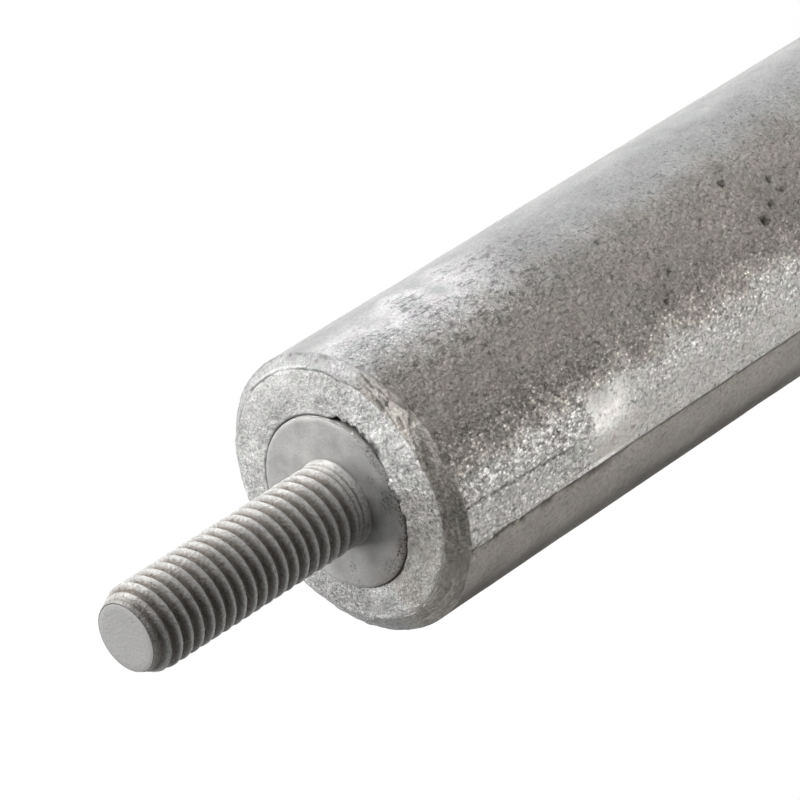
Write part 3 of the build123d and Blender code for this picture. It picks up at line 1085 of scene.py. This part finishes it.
def camera():
    """A long lens, looking down past the stud's tip at the end face."""
    lens, sensor, side_pixels = 232.7, 36.0, 800
    depth = 428.7 * MM
    down, roll = math.radians(38.5), math.radians(-122.26)
    collar_pixel = (335.0, 503.4)  # where the middle of the collar's face is in the picture
    ahead = Vector((0.0, math.cos(down), -math.sin(down)))
    level, rise = Vector((1.0, 0.0, 0.0)), Vector((0.0, math.sin(down), math.cos(down)))
    right = level * math.cos(roll) + rise * math.sin(roll)
    up = rise * math.cos(roll) - level * math.sin(roll)
    per_pixel = depth * sensor / lens / side_pixels
    offset_right = (collar_pixel[0] - side_pixels / 2) * per_pixel
    offset_up = (side_pixels / 2 - collar_pixel[1]) * per_pixel
    data = bpy.data.cameras.new("camera")
    data.lens, data.sensor_width = lens, sensor
    data.clip_start, data.clip_end = 0.01, 20.0
    eye = add_object("camera", data)
    eye.rotation_mode = "QUATERNION"
    eye.rotation_quaternion = Matrix((right, up, -ahead)).transposed().to_quaternion()
    eye.location = -(right * offset_right + up * offset_up + ahead * depth)
    bpy.context.scene.camera = eye


def softbox(name, turn, rise, distance, size, power, aim=(0.0, 0.0, -0.02), spread=180.0):
    """An area light at that azimuth and elevation, in degrees, and distance in metres; spread is the
    angle that a grid on it lets out."""
    a, e = math.radians(turn), math.radians(rise)
    away = Vector((math.cos(a) * math.cos(e), math.sin(a) * math.cos(e), math.sin(e)))
    data = bpy.data.lights.new(name, "AREA")
    data.shape, data.size, data.size_y, data.energy = "RECTANGLE", size[0], size[1], power
    data.spread = math.radians(spread)
    lamp = add_object(name, data)
    lamp.location = Vector(aim) + away * distance
    lamp.rotation_euler = away.to_track_quat("Z", "Y").to_euler()


def floor():
    mesh = bpy.data.meshes.new("floor")
    reach, z = 6.0, -BODY_LENGTH * MM - 0.0001
    corners = [(-reach, -reach, z), (reach, -reach, z), (reach, reach, z), (-reach, reach, z)]
    mesh.from_pydata(corners, [], [(0, 1, 2, 3)])
    mesh.materials.append(floor_paint())
    plane = add_object("floor", mesh)


def floor_paint():
    """Pale paint that keeps the shadow round the foot and turns to plain white further out."""
    n = Nodes("floor_paint")
    n.shader.inputs["Roughness"].default_value = 0.9
    n.shader.inputs["Specular IOR Level"].default_value = 0.0
    n.shader.inputs["Emission Color"].default_value = (1.0, 1.0, 1.0, 1.0)
    away = n.node("VectorMath")
    away.operation = "DISTANCE"
    n.link(n.place, away.inputs[0])
    away.inputs[1].default_value = (0.0, 0.0, -BODY_LENGTH * MM)
    white = n.remap(away.outputs["Value"], *WHITE_FLOOR, 0.0, 1.0)
    glow = n.times(white, seen_directly(n.tree))
    n.link(glow, n.shader.inputs["Emission Strength"])
    n.link(n.mix(glow, (0.9, 0.9, 0.9, 1.0), (0.01, 0.01, 0.01, 1.0)), n.shader.inputs["Base Color"])
    return n.material


def seen_directly(tree):
    """1 for what the camera or the metal sees, 0 for light that falls on other surfaces."""
    path = tree.nodes.new("ShaderNodeLightPath")
    seen = path.outputs["Is Camera Ray"]
    for name in ("Is Glossy Ray", "Is Transmission Ray"):
        node = tree.nodes.new("ShaderNodeMath")
        node.operation = "MAXIMUM"
        tree.links.new(seen, node.inputs[0])
        tree.links.new(path.outputs[name], node.inputs[1])
        seen = node.outputs[0]
    return seen


def surroundings():
    """Dim light from all round, behind a white backdrop that the camera and the metal see."""
    world = bpy.data.worlds.new("studio")
    world.use_nodes = True
    tree = world.node_tree
    sky = next(n for n in tree.nodes if n.type == "BACKGROUND")
    shade = tree.nodes.new("ShaderNodeMapRange")
    shade.inputs["To Min"].default_value = WORLD_FILL
    tree.links.new(seen_directly(tree), shade.inputs["Value"])
    tree.links.new(shade.outputs[0], sky.inputs["Strength"])
    sky.inputs["Color"].default_value = (1.0, 1.0, 1.0, 1.0)
    bpy.context.scene.world = world


def lights():
    """Three soft lamps, and a gridded one that rakes along the side to bring out its pebbles."""
    softbox("key", 60.0, 45.0, 0.9, (0.4, 0.4), 6.0)
    softbox("side", 3.0, 20.0, 0.7, (0.5, 0.5), 6.0)
    softbox("strip", -147.0, -25.0, 0.27, (0.05, 0.1), 0.16)
    softbox("rake", -48.0, 0.0, 0.3, (0.1, 0.2), 0.045, aim=(0.0, 0.0, -0.099), spread=8.0)


camera()
surroundings()
floor()
lights()
cast_rod()
m8_stud_insert()

bpy.context.scene.view_settings.view_transform = "Standard"
